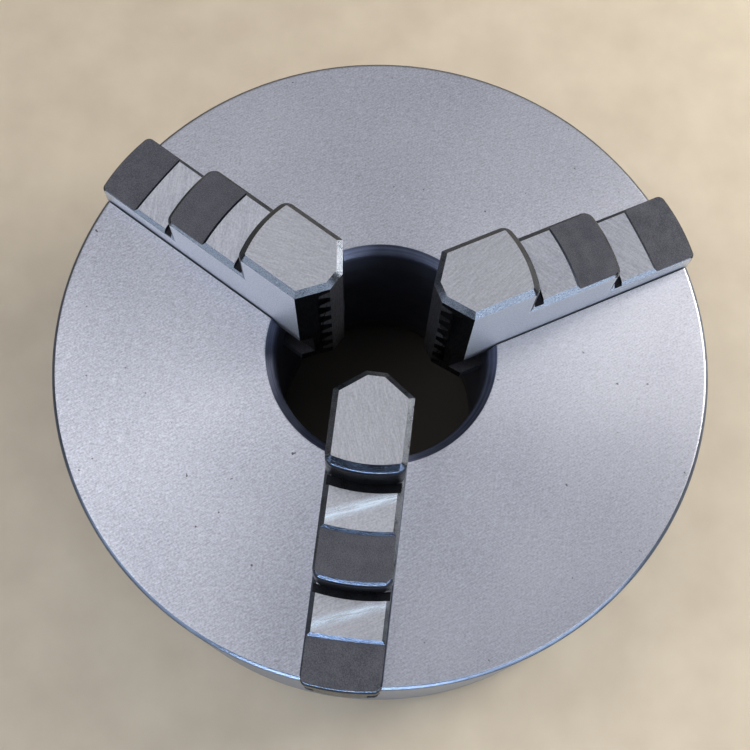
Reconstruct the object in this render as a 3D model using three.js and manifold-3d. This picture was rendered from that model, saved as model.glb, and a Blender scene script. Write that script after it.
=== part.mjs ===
// A 200 mm self-centring three-jaw scroll chuck with its outside jaws fitted.
// Millimetres, +Z up. The origin is the centre of the back face; the front face is at +Z.
//
// A key in any pinion turns the scroll plate. The spiral thread on top of the plate drives the
// three jaws in or out together. Pieces that lie on a radius are drawn along +X and then turned
// about Z to their place.

import * as THREE from 'three';
import { mergeVertices } from 'three/addons/utils/BufferGeometryUtils.js';
import Module from 'manifold-3d';

const wasm = await Module();
wasm.setup();

// ---- Driving dimensions -------------------------------------------------------------------

const GAP = 0.3; // between neighbouring pieces
const ROUND = 72; // sides of a large turned surface
const FINE = 24; // sides of a pinion and of its hole
const SMALL = 12; // sides of a screw, a pin and their holes
const ARC_STEPS = 3; // half of the straight steps in an arc of a jaw's plan
const PAST = 5; // how far a cutter runs past the surface that it cuts

const JAW_ANGLES = [-90, 30, 150];
const PINION_ANGLES = [90, -30, 210];
const COVER_SCREW_ANGLES = [0, 60, 120, 180, 240, 300];

const BODY = {
  radius: 100,
  height: 75,
  edge: 1.2, // chamfer round the rim
  bore: 32.5,
  boreMouth: 35.4, // bore radius at the front face, after its lead-in
  hub: 43, // outside of the hub that the scroll plate turns on
  hubEnd: 13.3, // height of the hub's back end and of the ledge that the cover rests on
  chamber: 81,
  ceiling: 53, // height of the chamber's roof
  register: 82.5, // recess that locates the chuck on its back plate
};

const SLOT = {
  half: 11.58, // half of the width that the jaw's flanges run in
  ridgeHalf: 8.1, // half of the gap between the two guide ridges
  ridgeLow: 58.3,
  ridgeHigh: 70.7,
  toothHalf: 9.5, // half of the width of the deep channel for the jaw's teeth
  floor: 46.9,
};

const MOUNTING = { circle: 90, radius: 5, depth: 20 };

const THREAD = {
  pitch: 8,
  start: 46, // radius of the thread's centre line where it begins
  end: 78.6,
  width: 3.6,
  top: 52.7,
  floor: 47.2,
  stepDegrees: 8,
};

const SCROLL = {
  bore: 43.5,
  radius: 80.5,
  innerRadius: 58, // outside of the bearing ring below the plate
  innerLow: 35.5,
  outerLow: 41.8,
};

// The crown teeth and the pinions share one apex, on the chuck's axis at the pinions' height.
// Their tooth sections are given at radius GEAR.middle, and shrink towards the apex.
const GEAR = {
  crownTeeth: 72,
  pinionTeeth: 10,
  middle: 70,
  inner: 62,
  outer: 78,
  axisHeight: 28,
  tip: 1.5, // tooth height above the pitch line
  root: 2.1, // tooth depth below the pitch line
  halfThickness: 1.2, // half of a tooth's width at the pitch line, thinned for backlash
  pressureAngle: THREE.MathUtils.degToRad(20),
};
const PITCH_LINE = GEAR.middle * GEAR.pinionTeeth / GEAR.crownTeeth;

const PINION = {
  radius: 13,
  hole: 13.3,
  bodyStart: 78.2,
  outerEnd: 98.5,
  edge: 1,
  journal: 5,
  journalEnd: 36,
  grooveRadius: 10,
  grooveStart: 87.5,
  grooveEnd: 93.5,
  square: 12, // across the flats of the key socket
  squareDepth: 15,
};

const PIN = { radius: 2.5, along: 90.5, side: 12.8, low: 11, high: 43.5 };
const PLUG = { low: 1, high: 10.5, hex: 1.5, hexDepth: 4 };

const COVER = {
  bore: 33,
  radius: 82.2,
  low: 5,
  high: 13,
  bossInner: 44.5,
  bossOuter: 57,
};

const SCREW = { circle: 38, radius: 2, head: 3.8, headHeight: 2.4, end: 25, hex: 1.3, hexDepth: 1.6 };

// Distances along a jaw are from the chuck's axis, and heights are above the front face.
// Each step ends at a wall that is part of a circle: `wall` is on the centre line, `arc` its radius.
const JAW = {
  half: 11.28,
  tip: 16.6,
  tipHalf: 2.9,
  shoulder: 22.8,
  corner: 3, // plan radius where a side meets a wall
  flangeLow: BODY.ceiling + GAP,
  guideHalf: SLOT.ridgeHalf - GAP,
  guideLow: SLOT.ridgeLow - GAP,
  guideHigh: SLOT.ridgeHigh + GAP,
  reliefDepth: 1, // of the groove at a wall's foot and of the land beyond a ground strip
};
const STEPS = [
  { name: 'low', wall: 101.5, arc: 64, top: 7.4, edge: 1.2 },
  { name: 'middle', wall: 73.7, arc: 53.6, top: 20.1, edge: 1.7 },
  { name: 'high', wall: 45.4, arc: 36, top: 34.4, edge: 1.7 },
];
// The ground strips that a workpiece sits on, each between a relief groove and a lower land.
const STRIPS = [
  { wall: 73.7, wallArc: 53.6, start: 76.14, startArc: 56.7, end: 86.49, endArc: 208, top: 7.4 },
  { wall: 45.4, wallArc: 36, start: 47.93, startArc: 46.8, end: 58.54, endArc: 69.5, top: 20.1 },
];
// The notches beside the gripping flat: each is `innerHalf` high at the flat and widens outwards.
const NOTCH = { outer: 6, innerHalf: 1.5, outerHalf: 3.1, first: 24.9, pitch: 7.45, count: 6 };
const JAW_TEETH = { first: 26, last: 97, half: 8.5, thickness: 3.6, innerArc: 95, outerArc: 40, low: 47.6 };

// ---- Helpers ------------------------------------------------------------------------------

const radians = THREE.MathUtils.degToRad;

// A closed mesh with shared vertices, as a solid that can be cut and joined.
function solid(geometry) {
  const bare = geometry.clone();
  bare.deleteAttribute('normal');
  bare.deleteAttribute('uv');
  const welded = mergeVertices(bare);
  const corners = welded.index.array;
  const kept = [];
  for (let i = 0; i < corners.length; i += 3) {
    const [a, b, c] = [corners[i], corners[i + 1], corners[i + 2]];
    if (a !== b && b !== c && c !== a) kept.push(a, b, c);
  }
  return new wasm.Manifold(new wasm.Mesh({
    numProp: 3,
    vertProperties: new Float32Array(welded.attributes.position.array),
    triVerts: new Uint32Array(kept),
  }));
}

function geometryOf(manifold) {
  const mesh = manifold.getMesh();
  const geometry = new THREE.BufferGeometry();
  geometry.setAttribute('position', new THREE.BufferAttribute(mesh.vertProperties, 3));
  geometry.setIndex(new THREE.BufferAttribute(mesh.triVerts, 1));
  geometry.computeVertexNormals();
  return geometry;
}

const joined = (first, ...others) => others.reduce((whole, piece) => whole.add(piece), first);
const cut = (first, ...cutters) => cutters.reduce((whole, cutter) => whole.subtract(cutter), first);

// A solid turned about Z from a list of [radius, height] points.
function turned(profile, sides = ROUND) {
  const points = profile.map(([radius, height]) => new THREE.Vector2(radius, height));
  return solid(new THREE.LatheGeometry(points, sides).rotateX(Math.PI / 2));
}

// The same about +X, from [radius, distance along X] points.
function turnedAlongX(profile, sides = FINE) {
  const points = profile.map(([radius, along]) => new THREE.Vector2(radius, along));
  return solid(new THREE.LatheGeometry(points, sides).rotateZ(-Math.PI / 2));
}

function rod(radius, low, high, sides = SMALL) {
  return turned([[0, low], [radius, low], [radius, high], [0, high]], sides);
}

function rodAlongX(radius, start, end, sides = FINE) {
  return turnedAlongX([[0, start], [radius, start], [radius, end], [0, end]], sides);
}

// A block between two distances along X and two heights, `half` wide on each side.
function block(start, end, half, low, high) {
  const box = new THREE.BoxGeometry(end - start, 2 * half, high - low);
  return solid(box.translate((start + end) / 2, 0, (low + high) / 2));
}

function prism(shape, low, high) {
  const geometry = new THREE.ExtrudeGeometry(shape, {
    depth: high - low,
    bevelEnabled: false,
    curveSegments: ARC_STEPS,
  });
  return solid(geometry.translate(0, 0, low));
}

// A prism whose end edges are chamfered by `edge`.
function chamferedPrism(shape, low, high, edge) {
  const geometry = new THREE.ExtrudeGeometry(shape, {
    depth: high - low - 2 * edge,
    bevelThickness: edge,
    bevelSize: edge,
    bevelOffset: -edge,
    bevelSegments: 1,
    curveSegments: ARC_STEPS,
  });
  return solid(geometry.translate(0, 0, low + edge));
}

function hexagonalRod(radius, low, high) {
  return rod(radius, low, high, 6);
}

const atAngle = (manifold, degrees) => manifold.rotate([0, 0, degrees]);

// ---- Chuck body ---------------------------------------------------------------------------

function slotCutter(angle) {
  const start = BODY.bore - 2 * PAST;
  const end = BODY.radius + PAST;
  const levels = [
    [SLOT.toothHalf, SLOT.floor, BODY.ceiling + GAP],
    [SLOT.half, BODY.ceiling, SLOT.ridgeLow],
    [SLOT.ridgeHalf, SLOT.ridgeLow - GAP, SLOT.ridgeHigh + GAP],
    [SLOT.half, SLOT.ridgeHigh, BODY.height + PAST],
  ];
  const pieces = levels.map(([half, low, high]) => block(start, end, half, low, high));
  return atAngle(joined(...pieces), angle);
}

function pinionCutter(angle) {
  const hole = rodAlongX(PINION.hole, BODY.chamber - PAST, BODY.radius + PAST);
  const journalHole = rodAlongX(PINION.journal + GAP, PINION.journalEnd - GAP, BODY.hub + PAST);
  const pinHole = rod(PIN.radius + GAP, -PAST, PIN.high + GAP).translate([PIN.along, PIN.side, 0]);
  const bores = joined(hole, journalHole).translate([0, 0, GEAR.axisHeight]);
  return atAngle(bores.add(pinHole), angle);
}

function chuckBody() {
  const { radius, height, edge, bore, boreMouth, hub, hubEnd, chamber, ceiling, register } = BODY;
  const blank = turned([
    [bore, hubEnd],
    [hub, hubEnd],
    [hub, ceiling],
    [chamber, ceiling],
    [chamber, hubEnd],
    [register, hubEnd],
    [register, 0],
    [radius - edge, 0],
    [radius, edge],
    [radius, height - edge],
    [radius - edge, height],
    [boreMouth, height],
    [bore, height - (boreMouth - bore)],
    [bore, hubEnd],
  ]);
  const mountingHole = rod(MOUNTING.radius, -PAST, MOUNTING.depth);
  const screwHole = rod(SCREW.radius + GAP, hubEnd - PAST, SCREW.end + GAP);
  return cut(
    blank,
    ...JAW_ANGLES.map(slotCutter),
    ...PINION_ANGLES.map(pinionCutter),
    ...JAW_ANGLES.map((angle) => atAngle(mountingHole.translate([MOUNTING.circle, 0, 0]), angle)),
    ...COVER_SCREW_ANGLES.map((angle) => atAngle(screwHole.translate([SCREW.circle, 0, 0]), angle)),
  );
}

// ---- Scroll plate -------------------------------------------------------------------------

// Radius of the thread's centre line at an angle from its start.
const threadRadius = (angle) => THREAD.start + THREAD.pitch * angle / (2 * Math.PI);

function spiralThread() {
  const step = radians(THREAD.stepDegrees);
  const lastAngle = 2 * Math.PI * (THREAD.end - THREAD.start) / THREAD.pitch;
  const count = Math.round(lastAngle / step);
  const side = (offset) => Array.from({ length: count + 1 }, (_, i) => {
    const radius = threadRadius(i * step) + offset;
    return new THREE.Vector2(radius * Math.cos(i * step), radius * Math.sin(i * step));
  });
  const outline = [...side(THREAD.width / 2), ...side(-THREAD.width / 2).reverse()];
  return prism(new THREE.Shape(outline), THREAD.floor - GAP, THREAD.top);
}

// An outline given at GEAR.middle, drawn out along +X and shrinking towards the apex.
// The outline's x runs across the tooth and its y runs up from the pinion's axis.
function towardsApex(shape, start, end) {
  const geometry = new THREE.ExtrudeGeometry(shape, { depth: end - start, bevelEnabled: false });
  const points = geometry.translate(0, 0, start).attributes.position;
  for (let i = 0; i < points.count; i += 1) {
    const along = points.getZ(i);
    const scale = along / GEAR.middle;
    points.setXYZ(i, along, points.getX(i) * scale, points.getY(i) * scale);
  }
  return solid(geometry);
}

function crownTooth(angle) {
  const slope = Math.tan(GEAR.pressureAngle);
  const tipHalf = GEAR.halfThickness - GEAR.tip * slope;
  const rootHalf = GEAR.halfThickness + GEAR.root * slope;
  const tipHeight = PITCH_LINE - GEAR.tip;
  const rootHeight = PITCH_LINE + GEAR.root;
  const outline = [
    [-tipHalf, tipHeight],
    [tipHalf, tipHeight],
    [rootHalf, rootHeight],
    [rootHalf, rootHeight + GEAR.tip],
    [-rootHalf, rootHeight + GEAR.tip],
    [-rootHalf, rootHeight],
  ];
  const shape = new THREE.Shape(outline.map(([across, up]) => new THREE.Vector2(across, up)));
  const tooth = towardsApex(shape, GEAR.inner, GEAR.outer).translate([0, 0, GEAR.axisHeight]);
  return atAngle(tooth, angle);
}

function scrollPlate() {
  const { bore, radius, innerRadius, innerLow, outerLow } = SCROLL;
  const rootAt = (distance) => GEAR.axisHeight + (PITCH_LINE + GEAR.root) * distance / GEAR.middle;
  const plate = turned([
    [bore, innerLow],
    [innerRadius, innerLow],
    [innerRadius, rootAt(innerRadius)],
    [GEAR.outer, rootAt(GEAR.outer)],
    [GEAR.outer, outerLow],
    [radius, outerLow],
    [radius, THREAD.floor],
    [bore, THREAD.floor],
    [bore, innerLow],
  ]);
  const spacing = 360 / GEAR.crownTeeth;
  const teeth = Array.from({ length: GEAR.crownTeeth }, (_, i) => crownTooth((i + 0.5) * spacing));
  return joined(plate, spiralThread(), ...teeth);
}

// ---- Pinions ------------------------------------------------------------------------------

// Half the angle that an involute tooth spans at a radius.
function toothHalfAngle(radius) {
  const base = PITCH_LINE * Math.cos(GEAR.pressureAngle);
  const involute = (angle) => Math.tan(angle) - angle;
  const pressure = Math.acos(Math.min(1, base / radius));
  return GEAR.halfThickness / PITCH_LINE + involute(GEAR.pressureAngle) - involute(pressure);
}

function pinionOutline() {
  const root = PITCH_LINE - GEAR.root;
  const tip = PITCH_LINE + GEAR.tip;
  const flankPoints = 4;
  const flank = Array.from({ length: flankPoints }, (_, i) => root + (tip - root) * i / (flankPoints - 1));
  const points = [];
  for (let tooth = 0; tooth < GEAR.pinionTeeth; tooth += 1) {
    const middle = Math.PI / 2 - 2 * Math.PI * tooth / GEAR.pinionTeeth;
    const add = (radius, angle) => points.push(
      new THREE.Vector2(radius * Math.cos(angle), radius * Math.sin(angle)),
    );
    flank.forEach((radius) => add(radius, middle + toothHalfAngle(radius)));
    [...flank].reverse().forEach((radius) => add(radius, middle - toothHalfAngle(radius)));
  }
  return new THREE.Shape(points);
}

function pinion() {
  const { radius, bodyStart, outerEnd, edge, journal, journalEnd, square, squareDepth } = PINION;
  const gear = towardsApex(pinionOutline(), GEAR.inner, GEAR.outer);
  const shaft = turnedAlongX([
    [0, journalEnd],
    [journal, journalEnd],
    [journal, bodyStart - GAP],
    [radius, bodyStart],
    [radius, PINION.grooveStart],
    [PINION.grooveRadius, PINION.grooveStart],
    [PINION.grooveRadius, PINION.grooveEnd],
    [radius, PINION.grooveEnd],
    [radius, outerEnd - edge],
    [radius - edge, outerEnd],
    [0, outerEnd],
  ]);
  const socket = block(outerEnd - squareDepth, outerEnd + PAST, square / 2, -square / 2, square / 2);
  return cut(joined(shaft, gear), socket);
}

function pinionPin() {
  return rod(PIN.radius, PIN.low, PIN.high);
}

// The short screw that closes a pin's hole in the back face.
function plugScrew() {
  const socket = hexagonalRod(PLUG.hex, PLUG.low - PAST, PLUG.low + PLUG.hexDepth);
  return cut(rod(PIN.radius, PLUG.low, PLUG.high), socket);
}

// ---- Back cover ---------------------------------------------------------------------------

function backCover() {
  const { bore, radius, low, high, bossInner, bossOuter } = COVER;
  const bossHigh = SCROLL.innerLow - GAP;
  const ring = turned([
    [bore, low],
    [radius, low],
    [radius, high],
    [bossOuter, high],
    [bossOuter, bossHigh],
    [bossInner, bossHigh],
    [bossInner, high],
    [bore, high],
    [bore, low],
  ]);
  const journalHole = rodAlongX(PINION.journal + GAP, bore, bossOuter + PAST)
    .translate([0, 0, GEAR.axisHeight]);
  const head = SCREW.head + GAP;
  const screwCutter = turned([
    [0, low - GAP],
    [head + GAP, low - GAP],
    [SCREW.radius + GAP, low + SCREW.headHeight],
    [SCREW.radius + GAP, high + PAST],
    [0, high + PAST],
  ], SMALL).translate([SCREW.circle, 0, 0]);
  return cut(
    ring,
    ...PINION_ANGLES.map((angle) => atAngle(journalHole, angle)),
    ...COVER_SCREW_ANGLES.map((angle) => atAngle(screwCutter, angle)),
  );
}

function coverScrew() {
  const low = COVER.low + GAP;
  const screw = turned([
    [0, low],
    [SCREW.head, low],
    [SCREW.radius, COVER.low + SCREW.headHeight],
    [SCREW.radius, SCREW.end],
    [0, SCREW.end],
  ], SMALL);
  return cut(screw, hexagonalRod(SCREW.hex, low - PAST, low + SCREW.hexDepth));
}

// ---- Jaws ---------------------------------------------------------------------------------

// A jaw's plan, from its gripping tip to a wall that is an arc with rounded ends.
function jawOutline(wall, arc) {
  const { half, tip, tipHalf, shoulder, corner } = JAW;
  const centre = wall - arc;
  const cornerSide = half - corner;
  const cornerAlong = centre + Math.sqrt((arc - corner) ** 2 - cornerSide ** 2);
  const meeting = Math.atan2(cornerSide, cornerAlong - centre);
  const shape = new THREE.Shape();
  shape.moveTo(tip, -tipHalf);
  shape.lineTo(shoulder, -half);
  shape.absarc(cornerAlong, -cornerSide, corner, -Math.PI / 2, -meeting, false);
  shape.absarc(centre, 0, arc, -meeting, meeting, false);
  shape.absarc(cornerAlong, cornerSide, corner, meeting, Math.PI / 2, false);
  shape.lineTo(shoulder, half);
  shape.lineTo(tip, tipHalf);
  return shape;
}

// The plan between two arcs across the jaw, past both of its sides.
function bandBetween(near, nearArc, far, farArc) {
  const half = JAW.half + 1;
  const nearAngle = Math.asin(half / nearArc);
  const farAngle = Math.asin(half / farArc);
  const shape = new THREE.Shape();
  shape.absarc(far - farArc, 0, farArc, -farAngle, farAngle, false);
  shape.absarc(near - nearArc, 0, nearArc, nearAngle, -nearAngle, true);
  return shape;
}

// Cutters for the groove at a wall's foot and for the land beyond the ground strip.
function reliefCutters({ wall, wallArc, start, startArc, end, endArc, top }) {
  const high = BODY.height + top;
  const low = high - JAW.reliefDepth;
  const nextWall = end + 3 * PAST;
  return [
    prism(bandBetween(wall, wallArc, start, startArc), low, high + GAP),
    prism(bandBetween(end, endArc, nextWall, endArc), low, high + GAP),
  ];
}

// Cutters for the notches, which run inwards along the jaw to the depth where they fade out.
function notchCutters() {
  const { outer, innerHalf, outerHalf, first, pitch, count } = NOTCH;
  const { tip, tipHalf, shoulder, half } = JAW;
  const depth = (outer - tipHalf) * (shoulder - tip) / (half - tipHalf);
  return [-1, 1].flatMap((side) => Array.from({ length: count }, (_, i) => {
    const shape = new THREE.Shape([
      new THREE.Vector2(tipHalf, -innerHalf),
      new THREE.Vector2(outer, -outerHalf),
      new THREE.Vector2(outer, outerHalf),
      new THREE.Vector2(tipHalf, innerHalf),
    ]);
    const geometry = new THREE.ExtrudeGeometry(shape, { depth: depth + PAST, bevelEnabled: false });
    geometry.rotateX(Math.PI / 2).rotateZ(Math.PI / 2);
    const notch = solid(geometry).translate([tip - PAST, 0, BODY.height + first - i * pitch]);
    return side > 0 ? notch : notch.mirror([0, 1, 0]);
  }));
}

// Crescent teeth under the jaw: each one clears the thread at every radius that it meets.
function jawTeeth(angle) {
  const { first, last, half, thickness, innerArc, outerArc, low } = JAW_TEETH;
  const { pitch } = THREAD;
  const groove = threadRadius(radians((angle + 360) % 360)) + pitch / 2;
  const start = groove - pitch * Math.floor((groove - first) / pitch);
  const count = Math.floor((last - start) / pitch) + 1;
  const innerAngle = Math.asin(half / innerArc);
  const outerAngle = Math.asin(half / outerArc);
  return Array.from({ length: count }, (_, i) => {
    const inner = start + i * pitch - thickness / 2;
    const outer = inner + thickness;
    const shape = new THREE.Shape();
    shape.absarc(outer - outerArc, 0, outerArc, -outerAngle, outerAngle, false);
    shape.absarc(inner - innerArc, 0, innerArc, innerAngle, -innerAngle, true);
    return prism(shape, low, JAW.flangeLow + PAST);
  });
}

function jaw(angle) {
  const { half, guideHalf, guideLow, guideHigh, flangeLow } = JAW;
  const blanks = STEPS.map(({ name, wall, arc, top, edge }) => chamferedPrism(
    jawOutline(wall, arc),
    name === 'low' ? flangeLow : BODY.height,
    BODY.height + top,
    edge,
  ));
  const guideWidth = (half - guideHalf) / 2 + PAST;
  const guide = block(0, BODY.radius + 2 * PAST, guideWidth, guideLow, guideHigh);
  const guideCutters = [-1, 1].map((side) => guide.translate([0, side * (guideHalf + guideWidth), 0]));
  const body = cut(
    joined(...blanks),
    ...guideCutters,
    ...STRIPS.flatMap(reliefCutters),
    ...notchCutters(),
  );
  return joined(body, ...jawTeeth(angle));
}

// ---- Assembly -----------------------------------------------------------------------------

const FINISH = {
  groundSteel: { color: 0xb9bcc2, roughness: 0.38, metalness: 0.9 },
  jawSteel: { color: 0x5f6068, roughness: 0.42, metalness: 0.85 },
  hardSteel: { color: 0x7d8087, roughness: 0.4, metalness: 0.9 },
  castIron: { color: 0x6b6d70, roughness: 0.6, metalness: 0.7 },
  blackSteel: { color: 0x2b2c30, roughness: 0.5, metalness: 0.6 },
};

const group = new THREE.Group();

// Adds one sub-part, turned about Z to its angle and placed in its own frame.
function addPart(name, manifold, finish, angle = 0, position = [0, 0, 0]) {
  const mesh = new THREE.Mesh(geometryOf(manifold), new THREE.MeshStandardMaterial(finish));
  mesh.name = name;
  mesh.position.set(...position);
  const holder = new THREE.Group();
  holder.rotation.z = radians(angle);
  holder.add(mesh);
  group.add(holder);
}

addPart('chuck_body', chuckBody(), FINISH.groundSteel);
addPart('scroll_plate', scrollPlate(), FINISH.hardSteel);
addPart('back_cover', backCover(), FINISH.castIron);
JAW_ANGLES.forEach((angle, i) => {
  addPart(`jaw_${i + 1}`, jaw(angle), FINISH.jawSteel, angle);
});
PINION_ANGLES.forEach((angle, i) => {
  const pinPlace = [PIN.along, PIN.side, 0];
  addPart(`pinion_${i + 1}`, pinion(), FINISH.hardSteel, angle, [0, 0, GEAR.axisHeight]);
  addPart(`pinion_pin_${i + 1}`, pinionPin(), FINISH.hardSteel, angle, pinPlace);
  addPart(`pin_plug_screw_${i + 1}`, plugScrew(), FINISH.blackSteel, angle, pinPlace);
});
COVER_SCREW_ANGLES.forEach((angle, i) => {
  addPart(`cover_screw_${i + 1}`, coverScrew(), FINISH.blackSteel, angle, [SCREW.circle, 0, 0]);
});

export default group;
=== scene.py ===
"""A 200 mm three-jaw scroll chuck, lying on its back: fine meshes and steel materials for its frame.

Shapes are worked out in millimetres and scaled by MM when a mesh is made. Pieces that lie on a radius
are drawn along +X and then turned about Z to their place.
"""

import math

import bmesh
import bpy
from mathutils import Matrix, Quaternion, Vector


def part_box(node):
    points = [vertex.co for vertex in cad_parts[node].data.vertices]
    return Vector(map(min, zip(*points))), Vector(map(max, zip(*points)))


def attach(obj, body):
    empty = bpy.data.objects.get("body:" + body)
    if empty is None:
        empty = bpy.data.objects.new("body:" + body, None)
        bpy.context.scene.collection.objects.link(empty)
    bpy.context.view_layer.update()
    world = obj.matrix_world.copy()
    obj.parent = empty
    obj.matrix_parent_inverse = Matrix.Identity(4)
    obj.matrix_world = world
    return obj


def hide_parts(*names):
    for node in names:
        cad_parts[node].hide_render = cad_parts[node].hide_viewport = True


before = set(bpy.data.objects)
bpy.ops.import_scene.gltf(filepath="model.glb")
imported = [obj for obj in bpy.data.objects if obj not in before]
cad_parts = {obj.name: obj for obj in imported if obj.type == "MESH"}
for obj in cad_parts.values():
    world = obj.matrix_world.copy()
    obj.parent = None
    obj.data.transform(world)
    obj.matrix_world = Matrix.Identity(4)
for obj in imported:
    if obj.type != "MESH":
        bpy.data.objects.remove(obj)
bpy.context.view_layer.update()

MM = 0.001
GAP = 0.3
JAW_ANGLES = (-90, 30, 150)
PINION_ANGLES = (90, -30, 210)
COVER_SCREW_ANGLES = (0, 60, 120, 180, 240, 300)

body_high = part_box("chuck_body")[1]
RIM = body_high.x / MM
FACE = body_high.z / MM
RIM_EDGE = 1.2  # chamfer round the body's rim
BORE = 32.5
BORE_MOUTH = 35.4
HUB = 43
HUB_END = 13.3
CHAMBER = 81
CEILING = 53
REGISTER = 82.5
ROUND = 288  # sides of a large turned surface
SMALL = 48  # sides of a small one

# ---- Mesh building ------------------------------------------------------------------------


def object_from(name, points, faces):
    mesh = bpy.data.meshes.new(name)
    mesh.from_pydata([Vector(point) * MM for point in points], [], faces)
    mesh.update()
    piece = bpy.data.objects.new(name, mesh)
    bpy.context.scene.collection.objects.link(piece)
    return piece


def stack(name, sections):
    """A closed solid through (outline, height) sections, lowest first, with equally many points each.
    Outlines run counter-clockwise, so that the faces point out."""
    count = len(sections[0][0])
    points = [(x, y, height) for outline, height in sections for x, y in outline]
    faces = [tuple(reversed(range(count)))]
    for level in range(len(sections) - 1):
        first = level * count
        for i in range(count):
            j = (i + 1) % count
            faces.append((first + i, first + j, first + count + j, first + count + i))
    last = (len(sections) - 1) * count
    faces.append(tuple(range(last, last + count)))
    return object_from(name, points, faces)


def turned(name, profile, sides=ROUND, solid=False):
    """A solid turned about Z. A profile is a counter-clockwise loop of (radius, height) points.
    A solid one starts at the bottom, ends at the top, and is closed by two flat ends."""
    angles = [2 * math.pi * i / sides for i in range(sides)]
    points = [(r * math.cos(a), r * math.sin(a), z) for r, z in profile for a in angles]
    rings = len(profile)
    faces = []
    for ring in range(rings - 1 if solid else rings):
        first = ring * sides
        second = (ring + 1) % rings * sides
        for i in range(sides):
            j = (i + 1) % sides
            faces.append((first + i, first + j, second + j, second + i))
    if solid:
        faces.append(tuple(reversed(range(sides))))
        faces.append(tuple(range((rings - 1) * sides, rings * sides)))
    return object_from(name, points, faces)


def rod(name, radius, low, high, sides=SMALL):
    return turned(name, [(radius, low), (radius, high)], sides, solid=True)


def rounded(profile, size=0.25, steps=3, closed=True):
    """The profile with each corner rounded; a point may carry its own corner size as a third number."""
    out = []
    count = len(profile)
    for i, (r, z, *own) in enumerate(profile):
        here = Vector((r, z))
        if not closed and i in (0, count - 1):
            out.append((r, z))
            continue
        reach = own[0] if own else size
        before = (Vector(profile[i - 1][:2]) - here).normalized() * reach
        after = (Vector(profile[(i + 1) % count][:2]) - here).normalized() * reach
        for step in range(steps + 1):
            t = step / steps
            out.append(tuple(here + before * (1 - t) ** 2 + after * t**2))
    return out


def block(name, x, y, z):
    """A block between pairs of limits."""
    outline = [(x[0], y[0]), (x[1], y[0]), (x[1], y[1]), (x[0], y[1])]
    return stack(name, [(outline, z[0]), (outline, z[1])])


def moved(piece, matrix):
    piece.data.transform(matrix)
    return piece


def shifted(piece, x=0.0, y=0.0, z=0.0):
    return moved(piece, Matrix.Translation(Vector((x, y, z)) * MM))


def about_z(piece, degrees):
    return moved(piece, Matrix.Rotation(math.radians(degrees), 4, "Z"))


def z_to_x(piece):
    """Turns a piece drawn along +Z so that it lies along +X."""
    return moved(piece, Matrix.Rotation(math.radians(90), 4, "Y"))


def combine(target, operation, others):
    """Cuts other solids from the target or joins them to it, and removes them."""
    for other in others:
        modifier = target.modifiers.new("boolean", "BOOLEAN")
        modifier.operation = operation
        modifier.solver = "MANIFOLD"
        modifier.object = other
    settle(target)
    for other in others:
        bpy.data.objects.remove(other)
    return target


def cut(target, *others):
    return combine(target, "DIFFERENCE", others)


def join(target, *others):
    return combine(target, "UNION", others)


def settle(piece):
    """Makes the piece's modifiers part of its mesh."""
    bpy.context.view_layer.update()
    graph = bpy.context.evaluated_depsgraph_get()
    mesh = bpy.data.meshes.new_from_object(piece.evaluated_get(graph))
    piece.modifiers.clear()
    piece.data = mesh
    return piece


def tidy(piece):
    """Merges doubled points and joins faces that lie in one plane."""
    same_place = 0.002 * MM
    same_plane = math.radians(0.2)
    work = bmesh.new()
    work.from_mesh(piece.data)
    bmesh.ops.remove_doubles(work, verts=work.verts, dist=same_place)
    bmesh.ops.dissolve_limit(work, angle_limit=same_plane, verts=work.verts, edges=work.edges)
    work.to_mesh(piece.data)
    work.free()
    return piece


def soften(piece, width, angle=30):
    """Rounds the edges sharper than an angle in degrees by a width in millimetres."""
    modifier = piece.modifiers.new("edges", "BEVEL")
    modifier.width = width * MM
    modifier.segments = 2
    modifier.limit_method = "ANGLE"
    modifier.angle_limit = math.radians(angle)
    modifier.miter_outer = "MITER_ARC"
    return settle(piece)


def smooth(piece):
    """Smooth shading that keeps sharp edges sharp and flat faces flat."""
    sharp = math.radians(28)
    piece.data.shade_smooth()
    piece.data.set_sharp_from_angle(angle=sharp)
    modifier = piece.modifiers.new("flats", "WEIGHTED_NORMAL")
    modifier.keep_sharp = True
    return settle(piece)


def paint(piece, materials, rule=None):
    """Gives each face the material that rule(centre in mm, normal) names, or all of them the first."""
    piece.data.materials.clear()
    names = list(materials)
    for name in names:
        piece.data.materials.append(materials[name])
    for face in piece.data.polygons:
        name = rule(face.center / MM, face.normal) if rule else names[0]
        face.material_index = names.index(name)
    return piece


def place(piece, body, slot, *nodes, angle=0.0):
    """Turns the finished piece to its angle, and makes it stand for its CAD nodes on their body."""
    piece.rotation_euler.z = math.radians(angle)
    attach(piece, body)
    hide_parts(*nodes)
    return piece


# ---- Materials ----------------------------------------------------------------------------


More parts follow.
